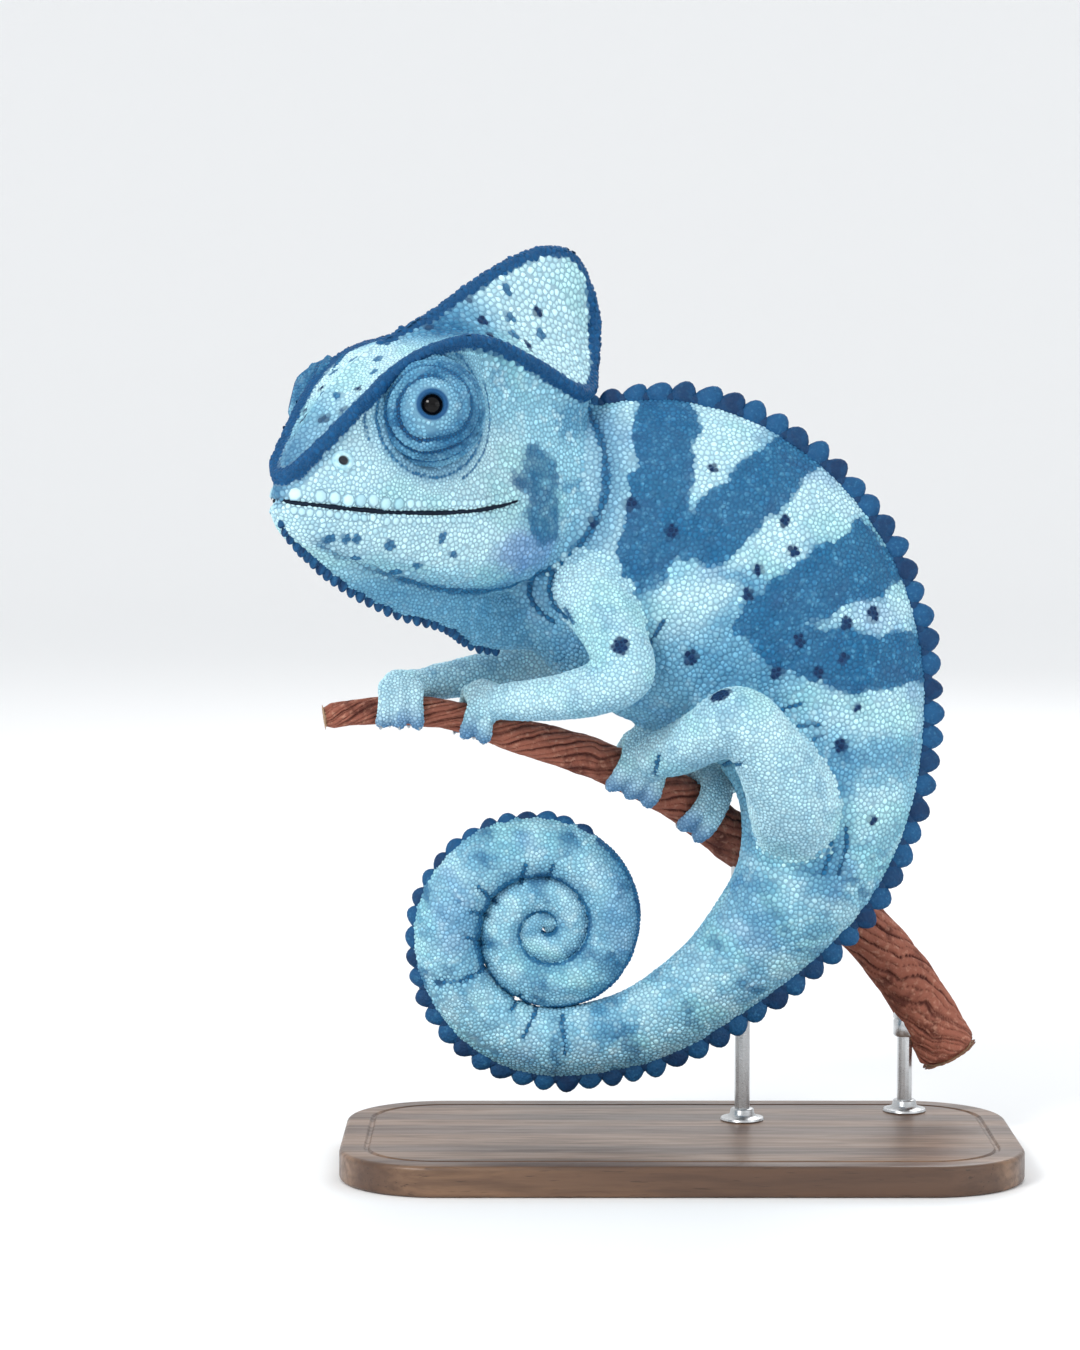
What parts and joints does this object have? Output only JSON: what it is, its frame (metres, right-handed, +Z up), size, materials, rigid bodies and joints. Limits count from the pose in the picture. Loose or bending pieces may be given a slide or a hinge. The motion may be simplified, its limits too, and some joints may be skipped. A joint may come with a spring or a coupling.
{
  "type": "veiled chameleon model",
  "caption": "Life-size still model of a veiled chameleon, blue with navy spots, tail coiled, gripping a cut branch held over a flat base by rods.",
  "frame": {"origin": "middle of the flat underside of the display base", "axes": "+Z up, -X the way the animal faces along its branch, -Y its left side"},
  "size_m": [0.1906, 0.1075, 0.2385],
  "materials": {
    "skin": "dry scaled skin, pale cyan with steel-blue bars and navy spots",
    "eye": "wet gloss, black pupil",
    "bark": "rough twisted bark, pale cut ends",
    "stand_wood": "satin dark walnut",
    "stand_steel": "brushed"
  },
  "bodies": {
    "root": {"head": "skin", "lower_jaw": "skin", "throat": "skin", "eye_turret_left": "skin", "eye_turret_right": "skin", "eyeball_left": "eye", "eyeball_right": "eye", "neck": "skin", "trunk_front": "skin", "trunk_rear": "skin", "pelvis": "skin", "tail_1": "skin", "tail_2": "skin", "tail_3": "skin", "tail_4": "skin", "tail_5": "skin", "tail_6": "skin", "tail_7": "skin", "tail_8": "skin", "front_left_upper_leg": "skin", "front_left_lower_leg": "skin", "front_left_foot": "skin", "front_right_upper_leg": "skin", "front_right_lower_leg": "skin", "front_right_foot": "skin", "hind_left_upper_leg": "skin", "hind_left_lower_leg": "skin", "hind_left_foot": "skin", "hind_right_upper_leg": "skin", "hind_right_lower_leg": "skin", "hind_right_foot": "skin", "perch_branch": "bark", "stand_base": "stand_wood", "stand_rod_middle": "stand_steel", "stand_rod_end": "stand_steel"}
  },
  "joints": []
}
